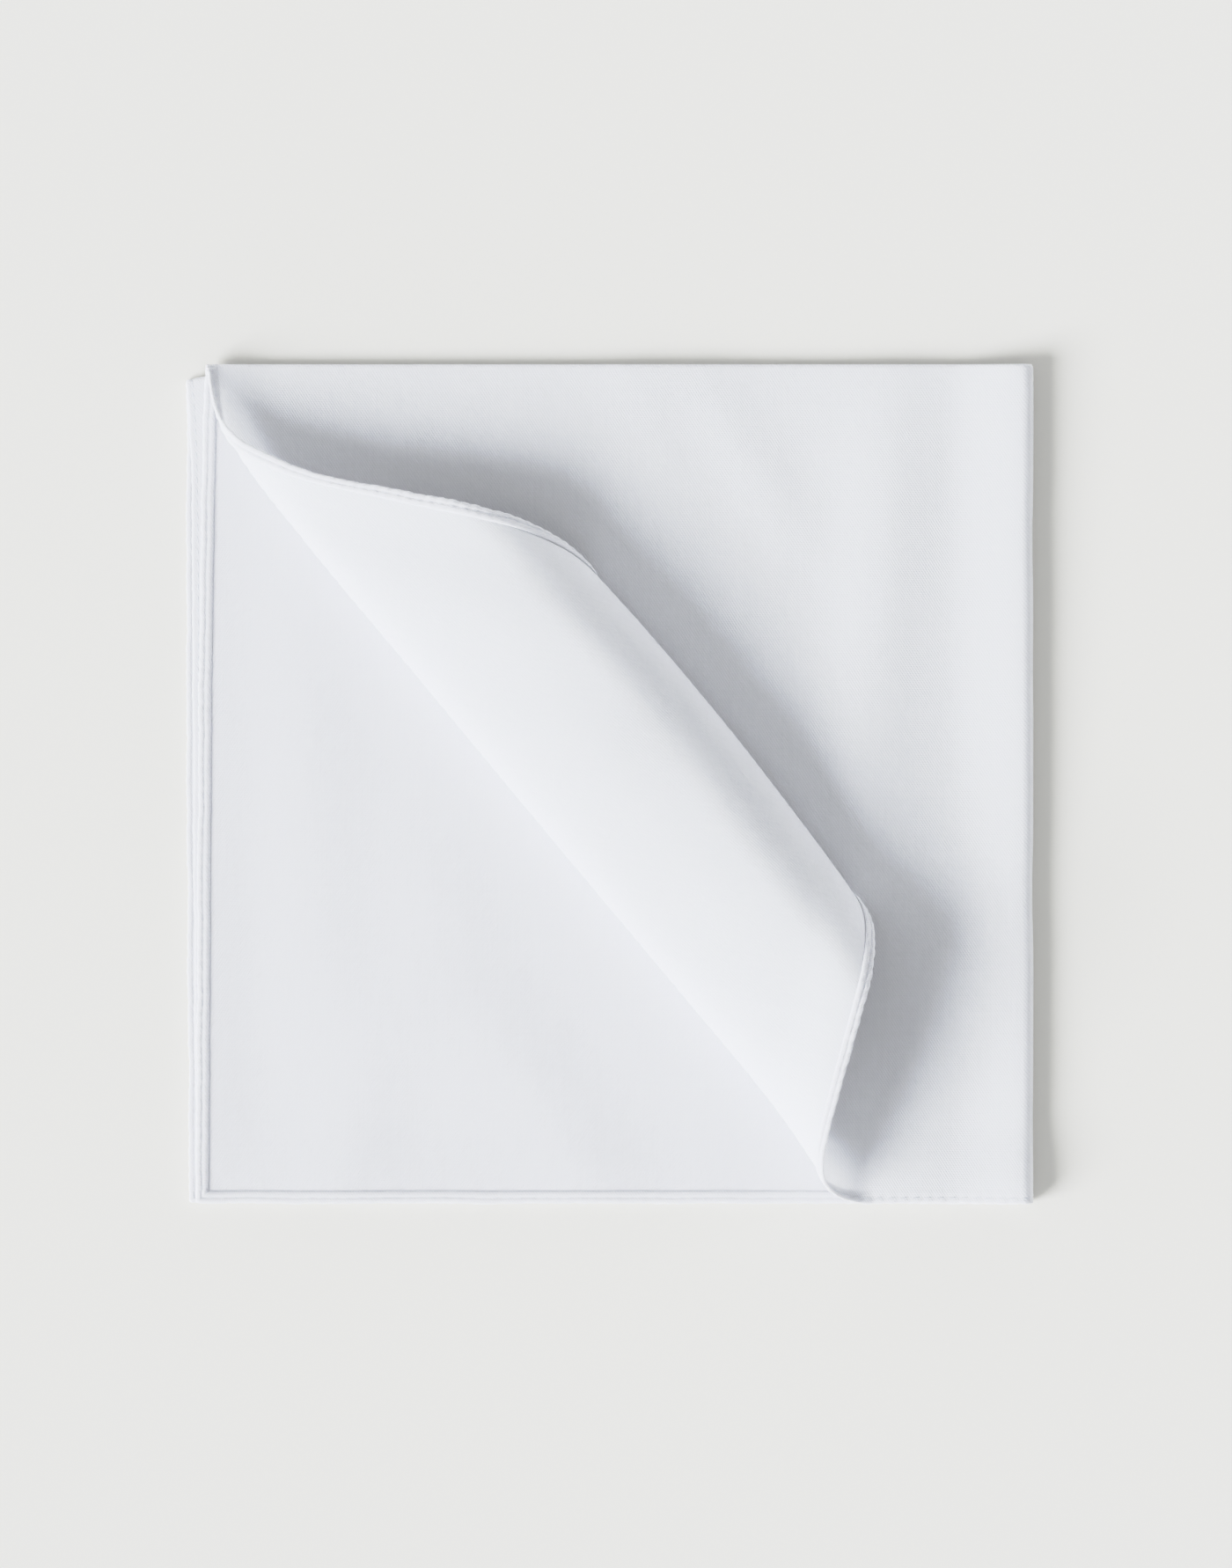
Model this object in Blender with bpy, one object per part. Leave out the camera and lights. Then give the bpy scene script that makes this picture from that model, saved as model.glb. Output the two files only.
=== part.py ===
"""A cotton square, hemmed all round, folded in four with its top corner rolled back.

Metres, +Z up. The origin is on the surface it lies on, in the middle of its outline. The square is
cut flat, creased along its folds, and then every point is carried through the folds in turn:
sheet 1 is the top one, 2 and 3 lie inside, and 4 rests on the surface. Sheets 1 and 2 are joined
along the top edge, as are 3 and 4. Sheets 1 and 4 are joined along the right edge, outside the fold
that joins 2 and 3. The free corner of sheet 1 is rolled towards the upper right and its tip is
tucked under the roll.
"""

from math import copysign, cos, hypot, pi, radians, sin

import bmesh
import bpy
from mathutils import Vector

MM = 0.001

# Cloth.
THICKNESS = 1.0 * MM
GAP = 0.3 * MM
PITCH = THICKNESS + GAP
SIDE_ACROSS = 328.2 * MM
SIDE_DOWN = 329.9 * MM

# Outline of the folded square, to the outside of its folds.
RIGHT = 83.2 * MM
TOP = 82.6 * MM
UPPER_LEFT = -79.4 * MM
UPPER_BOTTOM = -82.4 * MM

# First fold, along the top edge: it turns sheets 1 and 4 into 2 and 3.
TOP_RADIUS = PITCH / 2
TOP_BEND = TOP - THICKNESS / 2 - TOP_RADIUS
TOP_CREASE = TOP_BEND + pi * TOP_RADIUS / 2

# Second fold, along the right edge: it turns the pair 1 and 2 into the pair 4 and 3.
RIGHT_RADIUS = PITCH
RIGHT_BEND = RIGHT - THICKNESS / 2 - TOP_RADIUS - RIGHT_RADIUS
RIGHT_CREASE = RIGHT_BEND + pi * RIGHT_RADIUS / 2
MIDDLE = THICKNESS / 2 + TOP_RADIUS + RIGHT_RADIUS
FOLD_STEPS = 8
FOLD_MARGIN = 2.0 * MM

# How the sheets lie askew: their free edges show as steps along the left side, growing from the
# top fold down, and the folded corner of sheets 3 and 4 droops.
SHEET_2_OUT = 1.8 * MM
SHEET_3_IN = 1.3 * MM
SHEET_3_GROWTH = 5
SHEET_4_IN = 0.5 * MM
DROOP = 3.0 * MM
DROOP_WIDTH = 30.0 * MM
DROOP_CREASES = 6

# Rolled corner. Out is the distance from the roll's lower left side, towards the upper right, and
# along is measured down that side, from the point nearest the origin.
ROLL_TURN = radians(39.8)
AWAY = Vector((cos(ROLL_TURN), sin(ROLL_TURN), 0))
DOWN = Vector((sin(ROLL_TURN), -cos(ROLL_TURN), 0))
ROLL_LINE = -15.84 * MM
TUCK_HEIGHT = 1.3 * MM
TURN_REACH = 1.7 * MM

# Sections across the roll, in millimetres. Heights are above sheet 1, from middle to middle.
# lift: where the cloth leaves sheet 1; curl: the outermost point at the lower left;
# crown: the top; ridge: the outermost point at the upper right.
ROLL_COLUMNS = ("along", "lift", "curl", "curl_height", "crown", "crown_height", "ridge", "ridge_height")
ROLL_SECTIONS = (
    (-115.0, 7.7, 4.2, 8.0, 20.5, 23.0, 39.8, 4.0),
    (-100.0, 7.4, 3.0, 7.0, 22.0, 22.5, 39.6, 3.7),
    (-75.0, 7.4, 0.4, 6.0, 25.0, 19.5, 39.5, 3.0),
    (-40.0, 7.2, 0.3, 5.6, 27.0, 19.5, 40.1, 2.6),
    (0.0, 6.6, 0.0, 5.2, 28.4, 20.5, 41.0, 3.0),
    (40.0, 5.8, 0.4, 5.0, 28.6, 18.8, 39.5, 3.6),
    (70.0, 3.0, 0.0, 6.6, 27.0, 18.4, 38.8, 3.8),
    (95.0, 0.2, -2.7, 7.8, 24.2, 20.5, 38.0, 3.5),
)
ARC_STEPS = 16

# Creases cut across the flat corner, in millimetres of out: first, last and spacing.
ROLL_CREASES = (
    (8.0, -7.0, 1.25),
    (-8.5, -37.0, 2.5),
    (-39.0, -53.0, 1.75),
    (-53.7, -66.3, 0.7),
    (-72.0, -96.0, 8.0),
)

WHITE = (0.86, 0.88, 0.91, 1.0)


def mix(low, high, share):
    return low + (high - low) * share


def clamp(share):
    return min(max(share, 0.0), 1.0)


def bent(distance, radius, outside=0.0):
    """Carries a point round a fold of 180 degrees, whose middle has this radius.

    distance is measured on the flat from the fold's crease, and outside from the middle. Returns how
    far past the start of the bend the point ends, and its height above the bend's centre.
    """
    straight = abs(distance) - pi * radius / 2
    if straight > 0:
        return -straight, copysign(radius + outside, -distance)
    angle = distance / radius
    return (radius + outside) * cos(angle), -(radius + outside) * sin(angle)


def settled(x, y, under, turned):
    """Sets a sheet askew. under is 1 on sheets 3 and 4, and turned is 1 on sheets 2 and 3."""
    from_right = clamp((RIGHT_BEND - x) / (RIGHT_BEND - UPPER_LEFT))
    from_top = clamp((TOP_BEND - y) / (TOP_BEND - UPPER_BOTTOM))
    shift = 0.0
    droop = 0.0
    if under:
        shift = SHEET_4_IN * from_top
        if turned:
            shift += SHEET_3_IN * clamp(SHEET_3_GROWTH * from_top)
    elif turned:
        shift = -SHEET_2_OUT * from_top
    if under:
        left = 2 * RIGHT_BEND + pi * RIGHT_RADIUS - UPPER_LEFT - SIDE_ACROSS
        droop = DROOP * clamp(1 - (x - left) / DROOP_WIDTH) ** 2 * (1 - from_top)
    return x + shift * from_right, y - droop


def section_at(along):
    """The roll's section at this place, as a dictionary in metres: a smooth curve through the table."""
    rows = ROLL_SECTIONS
    place = min(max(along / MM, rows[0][0]), rows[-1][0])
    i = max(k for k in range(len(rows) - 1) if rows[k][0] <= place)
    span = rows[i + 1][0] - rows[i][0]
    t = (place - rows[i][0]) / span
    section = {}
    for column, name in enumerate(ROLL_COLUMNS):
        low, high = rows[i][column], rows[i + 1][column]
        slopes = []
        for k in (i, i + 1):
            before, after = rows[max(k - 1, 0)], rows[min(k + 1, len(rows) - 1)]
            slopes.append((after[column] - before[column]) / (after[0] - before[0]) * span)
        section[name] = MM * (
            low * (1 + 2 * t) * (1 - t) ** 2
            + high * t * t * (3 - 2 * t)
            + slopes[0] * t * (1 - t) ** 2
            - slopes[1] * t * t * (1 - t)
        )
    return section


def roll_outline(section):
    """Points (out, height) along the roll's middle, from where it leaves sheet 1 to past the tip.

    Four quarter ellipses: up to the curl, over to the crown, down to the ridge, and under it.
    """
    lift, curl, crown, ridge = (section[name] for name in ("lift", "curl", "crown", "ridge"))
    low, top, side = (section[name] for name in ("curl_height", "crown_height", "ridge_height"))
    quarter = [pi / 2 * step / ARC_STEPS for step in range(ARC_STEPS + 1)]
    points = [(mix(lift, curl, sin(a)), low * (1 - cos(a))) for a in quarter]
    points += [(mix(crown, curl, cos(a)), mix(low, top, sin(a))) for a in quarter[1:]]
    points += [(mix(crown, ridge, sin(a)), mix(side, top, cos(a))) for a in quarter[1:]]
    points += [
        (ridge - TURN_REACH * (1 - cos(a)), mix(side, TUCK_HEIGHT, sin(a))) for a in quarter[1:]
    ]
    return points + [(points[-1][0] - SIDE_DOWN / 2, TUCK_HEIGHT)]


def rolled(x, y):
    """Carries a point of flat sheet 1 into the roll: (x, y, height above the sheet)."""
    flat = Vector((x, y, 0))
    out = flat.dot(AWAY) - ROLL_LINE
    along = flat.dot(DOWN)
    section = section_at(along)
    left = section["lift"] - out
    if left <= 0:
        return x, y, 0.0
    points = roll_outline(section)
    for (out_0, height_0), (out_1, height_1) in zip(points, points[1:]):
        step = hypot(out_1 - out_0, height_1 - height_0)
        if left <= step:
            share = left / step
            place = AWAY * (ROLL_LINE + mix(out_0, out_1, share)) + DOWN * along
            return place.x, place.y, mix(height_0, height_1, share)
        left -= step
    raise ValueError("the corner is longer than its roll")


def folded(point):
    """Carries a point of the flat square through both folds, and through the roll on sheet 1."""
    past_top, outside = bent(point.y - TOP_CREASE, TOP_RADIUS)
    past_right, height = bent(point.x - RIGHT_CREASE, RIGHT_RADIUS, outside)
    under, turned = point.x > RIGHT_CREASE, point.y > TOP_CREASE
    x, y = settled(RIGHT_BEND + past_right, TOP_BEND + past_top, under, turned)
    if point.x < RIGHT_BEND and point.y < TOP_BEND:
        x, y, above = rolled(x, y)
        height += above
    return Vector((x, y, MIDDLE + height))


def crease(mesh, faces, point, normal):
    """Cuts these faces along the line through the point."""
    edges = {edge for face in faces for edge in face.edges}
    corners = {corner for edge in edges for corner in edge.verts}
    bmesh.ops.bisect_plane(
        mesh, geom=[*corners, *edges, *faces], dist=1e-6, plane_co=point, plane_no=normal
    )


def bend_lines(middle, radius):
    """The places where a fold of this radius is creased, and one to each side of it."""
    half = pi * radius / 2
    bends = [middle + mix(-half, half, step / FOLD_STEPS) for step in range(FOLD_STEPS + 1)]
    return [bends[0] - FOLD_MARGIN, *bends, bends[-1] + FOLD_MARGIN]


def corner_faces(mesh, reach):
    """Sheet 1's faces nearer to its free corner than the line at this distance out."""
    found = []
    for face in mesh.faces:
        middle = face.calc_center_median()
        if middle.x < RIGHT_BEND and middle.y < TOP_BEND:
            if min(corner.co.dot(AWAY) - ROLL_LINE for corner in face.verts) < reach:
                found.append(face)
    return found


def flat_square():
    """The cloth as it is cut, creased wherever it bends."""
    mesh = bmesh.new()
    left, bottom = UPPER_LEFT, UPPER_BOTTOM
    right, top = left + SIDE_ACROSS, bottom + SIDE_DOWN
    outline = ((left, bottom), (right, bottom), (right, top), (left, top))
    mesh.faces.new([mesh.verts.new((x, y, 0)) for x, y in outline])
    for x in bend_lines(RIGHT_CREASE, RIGHT_RADIUS):
        crease(mesh, mesh.faces[:], (x, 0, 0), (1, 0, 0))
    for y in bend_lines(TOP_CREASE, TOP_RADIUS):
        crease(mesh, mesh.faces[:], (0, y, 0), (0, 1, 0))
    for step in range(DROOP_CREASES):
        place = right - DROOP_WIDTH * (step + 1) / DROOP_CREASES
        crease(mesh, mesh.faces[:], (place, 0, 0), (1, 0, 0))
    growth_end = TOP_CREASE + (TOP_CREASE - bottom) / SHEET_3_GROWTH
    crease(mesh, mesh.faces[:], (0, growth_end, 0), (0, 1, 0))
    widest = ROLL_CREASES[0][0] * MM
    for first, last, spacing in ROLL_CREASES:
        for step in range(round((first - last) / spacing) + 1):
            out = (first - step * spacing) * MM
            crease(mesh, corner_faces(mesh, out), AWAY * (ROLL_LINE + out), AWAY)
    alongs = [row[0] * MM for row in ROLL_SECTIONS]
    for low, high in zip(alongs, alongs[1:]):
        for place in (low, (low + high) / 2):
            crease(mesh, corner_faces(mesh, widest - THICKNESS / 10), DOWN * place, DOWN)
    bmesh.ops.triangulate(mesh, faces=mesh.faces[:])
    return mesh


def cloth_material():
    material = bpy.data.materials.new("white_cotton")
    material.use_nodes = True
    shader = material.node_tree.nodes["Principled BSDF"]
    shader.inputs["Base Color"].default_value = WHITE
    shader.inputs["Roughness"].default_value = 0.85
    shader.inputs["Metallic"].default_value = 0.0
    return material


def folded_square():
    """The whole cloth as one solid."""
    mesh = flat_square()
    for corner in mesh.verts:
        corner.co = folded(corner.co)
    mesh.normal_update()
    data = bpy.data.meshes.new("cotton_square")
    mesh.to_mesh(data)
    mesh.free()
    data.materials.append(cloth_material())
    cloth = bpy.data.objects.new("cotton_square", data)
    bpy.context.scene.collection.objects.link(cloth)
    solid = cloth.modifiers.new("thickness", "SOLIDIFY")
    solid.thickness = THICKNESS
    solid.offset = 0.0
    solid.use_even_offset = True
    data.shade_smooth()
    return cloth


def main():
    for leftover in list(bpy.data.objects):
        bpy.data.objects.remove(leftover, do_unlink=True)
    folded_square()


main()
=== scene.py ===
"""Looks of a white cotton pocket square, folded in four with its top corner rolled back.

The cloth is one thin sheet of fine twill with a narrow turned hem all round. It is laid out flat as
rings of hem and a grid of cloth, and every point is then carried through the folds and the roll.
Lengths inside the classes are in millimetres, and become metres when a mesh is made.
"""

import logging
import math
from dataclasses import astuple, dataclass, field
from enum import Enum

import bpy
import numpy as np
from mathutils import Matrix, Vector

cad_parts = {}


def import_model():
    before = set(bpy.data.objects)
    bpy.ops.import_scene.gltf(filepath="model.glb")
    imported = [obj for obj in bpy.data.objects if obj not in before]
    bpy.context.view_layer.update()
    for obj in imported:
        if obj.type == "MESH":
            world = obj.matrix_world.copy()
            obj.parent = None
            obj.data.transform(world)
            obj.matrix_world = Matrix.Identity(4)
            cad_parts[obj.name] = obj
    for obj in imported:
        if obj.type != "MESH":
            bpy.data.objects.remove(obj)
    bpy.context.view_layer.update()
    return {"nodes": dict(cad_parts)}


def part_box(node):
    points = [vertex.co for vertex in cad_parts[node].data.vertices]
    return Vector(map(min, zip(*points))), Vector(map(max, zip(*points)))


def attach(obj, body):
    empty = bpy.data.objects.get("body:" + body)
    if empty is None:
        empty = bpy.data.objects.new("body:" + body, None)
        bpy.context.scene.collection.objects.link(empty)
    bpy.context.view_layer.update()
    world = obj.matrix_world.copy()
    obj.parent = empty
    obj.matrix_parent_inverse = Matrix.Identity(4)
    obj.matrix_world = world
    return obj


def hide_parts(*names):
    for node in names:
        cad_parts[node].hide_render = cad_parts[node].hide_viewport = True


LOG = logging.getLogger("pocket_square")
MM = 0.001
NODE = "cotton_square"
BODY = "root"
IMAGE_WIDTH = 1400
IMAGE_HEIGHT = 1782
WHOLE_TURN = 4.0
TINY = 1e-9
Array = np.ndarray
Colour = tuple[float, float, float, float]
Pair = tuple[float, float]
Socket = bpy.types.NodeSocket
Piece = bpy.types.Object


def smooth(share: Array) -> Array:
    """Eases a share from 0 to 1, and holds it there outside that range."""
    share = np.clip(share, 0.0, 1.0)
    return share * share * (3 - 2 * share)


def mix(low: Array, high: Array, share: Array) -> Array:
    """The value this share of the way from low to high."""
    return low + (high - low) * share


def at_hole(turn: Array) -> Array:
    """1 where the needle goes through, and 0 midway between two holes."""
    return (0.5 + 0.5 * np.cos(turn)) ** 2


def curve_through(rows: Array, place: Array) -> Array:
    """Reads a smooth curve through a table.

    Args:
        rows: one row for each knot, with its place first and then its values.
        place: where the curve is read.

    Returns:
        One row of values for each place.
    """
    knots, values = rows[:, 0], rows[:, 1:]
    place = np.clip(place, knots[0], knots[-1])
    i = np.clip(np.searchsorted(knots, place, side="right") - 1, 0, len(knots) - 2)
    span = knots[i + 1] - knots[i]
    t = ((place - knots[i]) / span)[:, None]
    order = np.arange(len(knots))
    before, after = np.maximum(order - 1, 0), np.minimum(order + 1, len(knots) - 1)
    slopes = (values[after] - values[before]) / (knots[after] - knots[before])[:, None]
    return (
        values[i] * (1 + 2 * t) * (1 - t) ** 2
        + values[i + 1] * t * t * (3 - 2 * t)
        + slopes[i] * span[:, None] * t * (1 - t) ** 2
        - slopes[i + 1] * span[:, None] * t * t * (1 - t)
    )


@dataclass(frozen=True)
class Ripple:
    """A soft ridge in the cloth, or a trough if its height is below zero.

    Args:
        x: its middle, to the right of the origin.
        y: its middle, above the origin.
        turn: the way it runs, in degrees from the x axis.
        length: how far it runs each way before it has faded to three fifths.
        width: how far it spreads to each side before it has faded to three fifths.
        height: how high it stands.
    """

    x: float
    y: float
    turn: float
    length: float
    width: float
    height: float

    def lift(self, x: Array, y: Array) -> Array:
        """How high the ridge stands at each place."""
        turn = math.radians(self.turn)
        along = (x - self.x) * math.cos(turn) + (y - self.y) * math.sin(turn)
        aside = (y - self.y) * math.cos(turn) - (x - self.x) * math.sin(turn)
        return self.height * np.exp(-0.5 * ((along / self.length) ** 4 + (aside / self.width) ** 2))


@dataclass(frozen=True)
class RollSection:
    """One section across the rolled corner. Heights are above sheet 1, from middle to middle.

    Args:
        along: how far down the roll the section is.
        lift: where the cloth leaves sheet 1.
        curl: the outermost point at the lower left.
        curl_height: its height.
        curl_ease: how gently the cloth turns there, from 0 for a crease to about 0.55 for an oval.
        crown: the top of the roll.
        crown_height: its height.
        ridge: the outermost point at the upper right.
        ridge_height: its height.
        slide: how far the rolled cloth is drawn down the roll.
    """

    along: float
    lift: float
    curl: float
    curl_height: float
    curl_ease: float
    crown: float
    crown_height: float
    ridge: float
    ridge_height: float
    slide: float


@dataclass
class Roll:
    """The free corner of sheet 1, rolled towards the upper right with its tip tucked under.

    Out is the distance from the roll's lower left side, towards the upper right. Along is measured
    down that side, from the point nearest the origin. The hidden cloth is arched over the tuck's
    span, so that the tip ends just inside the curl. The tail is more length than it can use.
    """

    turn: float = math.radians(39.8)
    line: float = -15.84
    tuck_height: float = 0.95
    tuck_span: float = 34.0
    tuck_swell: float = 11.2
    tip_height: float = 3.0
    turn_reach: float = 1.5
    crown_ease: float = 0.56
    arc_steps: int = 24
    tail: float = 170.0
    slide_reach: float = 35.0
    sections: tuple[RollSection, ...] = (
        RollSection(-115.0, 11.8, 7.1, 4.1, 0.56, 18.9, 7.2, 40.2, 4.0, 6.3),
        RollSection(-100.0, 7.5, 1.6, 4.5, 0.68, 21.8, 9.8, 40.2, 3.7, 9.7),
        RollSection(-75.0, 6.0, 0.3, 5.4, 0.64, 25.2, 11.8, 35.7, 3.0, 4.1),
        RollSection(-40.0, 5.6, 0.3, 6.0, 0.63, 27.8, 15.2, 39.8, 2.6, 3.1),
        RollSection(0.0, 6.0, 0.2, 6.0, 0.62, 27.8, 15.6, 40.8, 3.0, 1.7),
        RollSection(40.0, 6.1, 0.3, 6.0, 0.58, 26.0, 15.6, 39.3, 3.6, 0.7),
        RollSection(70.0, 4.9, 0.1, 6.8, 0.70, 22.9, 16.4, 36.7, 3.8, -1.1),
        RollSection(95.0, 3.9, -2.4, 8.3, 0.72, 19.2, 17.6, 38.5, 3.5, -4.1),
    )

    def outline(self, table: Array) -> tuple[Array, Array]:
        """The roll's middle, from where it leaves sheet 1 to past the tip.

        Args:
            table: one row of section values for each place.

        Returns:
            The distances out and the heights, one row of points for each place.
        """
        lift, curl, low, ease, crown, top, ridge, side = (table[:, k : k + 1] for k in range(8))
        quarter = np.linspace(0.0, math.pi / 2, self.arc_steps + 1)[None, :]
        sine, cosine = np.sin(quarter), np.cos(quarter)
        share = np.linspace(0.0, 1.0, self.arc_steps + 1)[None, 1:]
        rest, tuck = 1 - share, self.tuck_height
        arch = self.tuck_swell * np.sin(share * math.pi) ** 2
        tucked_from = ridge - self.turn_reach
        early, late, last = 3 * share * rest**2, 3 * share**2 * rest, share**3
        flap_out = curl + (crown - curl) * (late * (1 - self.crown_ease) + last)
        flap_height = low + (top - low) * (early * ease + late + last)
        outs = [
            mix(lift, curl, sine),
            flap_out,
            mix(crown, ridge, sine)[:, 1:],
            (ridge - self.turn_reach * (1 - cosine))[:, 1:],
            tucked_from - self.tuck_span * share,
            tucked_from - self.tuck_span - self.tail,
        ]
        heights = [
            low * (1 - cosine),
            flap_height,
            mix(side, top, cosine)[:, 1:],
            mix(side, tuck, sine)[:, 1:],
            np.tile(mix(tuck, self.tip_height, share) + arch, (len(ridge), 1)),
            np.full_like(ridge, self.tip_height),
        ]
        return np.concatenate(outs, axis=1), np.concatenate(heights, axis=1)

    def carry(self, x: Array, y: Array) -> tuple[Array, Array, Array]:
        """Carries points of flat sheet 1 into the roll.

        Args:
            x: places on the flat sheet, to the right.
            y: places on the flat sheet, upwards.

        Returns:
            The new x and y, and the height above the sheet.
        """
        away_x, away_y = math.cos(self.turn), math.sin(self.turn)
        out = x * away_x + y * away_y - self.line
        along = x * away_y - y * away_x
        table = curve_through(np.array([astuple(section) for section in self.sections]), along)
        left = table[:, 0] - out
        outs, heights = self.outline(table)
        steps = np.hypot(np.diff(outs, axis=1), np.diff(heights, axis=1))
        ends = np.cumsum(steps, axis=1)
        k = np.minimum((ends < left[:, None]).sum(axis=1), steps.shape[1] - 1)
        rows = np.arange(len(k))
        share = 1 - (ends[rows, k] - left) / steps[rows, k]
        new_out = mix(outs[rows, k], outs[rows, k + 1], share)
        height = mix(heights[rows, k], heights[rows, k + 1], share)
        moved = left > 0
        place = self.line + new_out
        along = along + table[:, 8] * smooth(left / self.slide_reach)
        return (
            np.where(moved, away_x * place + away_y * along, x),
            np.where(moved, away_y * place - away_x * along, y),
            np.where(moved, height, 0.0),
        )


@dataclass
class Folds:
    """How the flat square is folded in four, and the roll on top.

    Sheet 1 is the top one and sheet 4 rests on the surface. The first fold runs along the top edge,
    and the second along the right edge.
    """

    low: tuple[float, float, float]
    high: tuple[float, float, float]
    cloth: float = 0.2
    rest: float = 0.14
    corner_left: float = 3.9
    corner_bottom: float = 0.2
    pair_gap: float = 0.42
    pair_rise: float = 0.30
    middle_gap: float = 0.15
    rise_reach: Pair = (3.0, 16.0)
    bulge: Pair = (0.75, 0.90)
    bulge_reach: float = 17.0
    pair_bulge: float = 0.3
    top_reach: float = 0.9
    right_reach: float = 1.7
    droop: float = 3.0
    droop_width: float = 30.0
    askew: tuple[tuple[float, float, float, float], ...] = (
        (0.00, 0.0, 0.0, 0.0),
        (0.06, -0.4, 0.7, 0.0),
        (0.20, -0.9, 1.1, 0.0),
        (0.45, -1.4, 1.3, 0.0),
        (1.00, -1.9, 1.8, 0.5),
    )
    waves: tuple[tuple[float, float, float], ...] = (
        (0.055, 61.0, 0.4),
        (0.045, 37.0, 2.1),
        (0.030, 23.0, 4.4),
    )
    ripples: tuple[Ripple, ...] = (
        Ripple(-5.5, -6.6, -50.2, 66.0, 6.5, 3.2),
        Ripple(52.0, 26.0, 86.0, 42.0, 6.5, 1.9),
        Ripple(27.0, 64.0, 122.0, 20.0, 4.5, 0.7),
        Ripple(8.0, 72.0, 108.0, 13.0, 5.0, 0.5),
        Ripple(66.0, -52.0, 78.0, 20.0, 6.0, 0.75),
        Ripple(45.0, -70.0, 60.0, 14.0, 6.0, 0.30),
        Ripple(-60.0, 0.0, 94.0, 50.0, 8.0, 1.1),
        Ripple(-32.0, -36.0, 104.0, 30.0, 9.0, 1.0),
        Ripple(-48.0, -60.0, 70.0, 20.0, 7.0, 0.8),
        Ripple(-10.0, -66.0, 120.0, 20.0, 7.0, 0.8),
        Ripple(18.0, -76.0, 70.0, 12.0, 6.0, 0.25),
    )
    share_inside: float = 0.9
    share_below: float = 0.25
    flap_height: float = 5.0
    flap_lines: tuple[Ripple, ...] = (
        Ripple(36.3, -44.3, -20.0, 12.0, 1.1, 0.16),
        Ripple(8.0, -4.0, -52.0, 30.0, 4.0, 0.25),
        Ripple(-24.0, 36.0, -46.0, 14.0, 4.0, 0.22),
    )
    probe: float = 0.15
    roll: Roll = field(default_factory=Roll)

    def __post_init__(self) -> None:
        """Works out the flat cut from the outline of the folded square."""
        half = self.cloth / 2
        self.left = self.low[0] + self.corner_left
        self.bottom = self.low[1] + self.corner_bottom
        gap = self.pair_gap
        self.top_bend = self.high[1] - half - self.top_reach
        self.right_bend = self.high[0] - half - self.right_reach - gap
        self.top_turn = self.half_turn(self.top_reach, gap)
        self.right_turn = self.half_turn(self.right_reach, gap + self.middle_gap + sum(self.bulge) / 2)
        self.top_crease = self.top_bend + self.top_turn
        self.right_crease = self.right_bend + self.right_turn
        far_left = self.low[0] + half
        self.width = self.right_crease + self.right_turn + self.right_bend - far_left - self.left
        self.height = 2 * (self.top_crease - self.bottom)

    @staticmethod
    def half_turn(reach: float, rise: float) -> float:
        """The length of cloth in a quarter of this ellipse, near enough."""
        return math.pi / 2 * math.sqrt((reach**2 + rise**2) / 2)

    def bend(self, past: Array, turn: float) -> tuple[Array, Array]:
        """Carries places round a fold of 180 degrees.

        Args:
            past: the distance past the crease, on the flat.
            turn: the length of cloth from the crease to where the fold begins.

        Returns:
            How far past the fold's start the place lies, where 0 to 1 is a share of the fold's
            reach and less than 0 is a distance, and its share of the rise, from 1 before the fold
            to -1 after it.
        """
        angle = np.clip(past / turn, -1, 1) * math.pi / 2
        straight = np.abs(past) - turn
        return np.where(straight > 0, -straight, np.cos(angle)), -np.sin(angle)

    def gaps(self, x: Array, y: Array) -> tuple[Array, Array]:
        """Half the distance between the sheets of a pair, and half that between the two pairs.

        Hems hold a pair apart near its free edges, and the last fold is fuller towards the top.
        """
        edge = np.minimum(x - self.low[0], y - self.low[1])
        near, far = self.rise_reach
        at_hem = 1 - smooth((edge - near) / (far - near))
        up = smooth((y - self.low[1]) / (self.high[1] - self.low[1]))
        full = smooth(1 - (self.high[0] - x) / self.bulge_reach) * mix(*self.bulge, up)
        pair = self.pair_gap + self.pair_rise * at_hem + self.pair_bulge * full
        return pair, pair + self.middle_gap + full

    def carry(self, u: Array, v: Array) -> Array:
        """Carries places on the flat square to where the folded cloth's middle lies.

        Args:
            u: places on the flat, to the right.
            v: places on the flat, upwards.

        Returns:
            One row of x, y and z for each place.
        """
        near_top, outside = self.bend(v - self.top_crease, self.top_turn)
        near_right, upper = self.bend(u - self.right_crease, self.right_turn)
        y = self.top_bend + np.where(near_top > 0, self.top_reach, 1.0) * near_top
        reach = self.right_reach + outside * self.pair_gap
        x = self.right_bend + np.where(near_right > 0, reach, 1.0) * near_right
        under, turned = u > self.right_crease, v > self.top_crease
        x, y = self.settle(x, y, under, turned)
        pair, between = self.gaps(x, y)
        above = upper * (between + outside * pair)
        z = self.rest + self.cloth / 2 + between + pair + above
        z = z + self.rise(x, y) * self.share(outside, upper)
        on_top = (near_top < 0) & (near_right < 0) & ~under & ~turned
        rolled = self.roll.carry(x[on_top], y[on_top])
        x[on_top], y[on_top] = rolled[0], rolled[1]
        lines = sum(line.lift(rolled[0], rolled[1]) for line in self.flap_lines)
        z[on_top] = z[on_top] + rolled[2] + lines * smooth(rolled[2] / self.flap_height - 1)
        return np.stack([x, y, z], axis=1)

    def share(self, outside: Array, upper: Array) -> Array:
        """How much of the ripples each sheet takes: all on sheet 1, none on sheet 4."""
        above = (upper + 1) / 2 * mix(self.share_inside, 1.0, outside)
        below = (1 - upper) / 2 * self.share_below * (1 - outside)
        return np.clip(above + below, 0, 1)

    def rise(self, x: Array, y: Array) -> Array:
        """The height of all the ripples together."""
        return sum(ripple.lift(x, y) for ripple in self.ripples)

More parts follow.
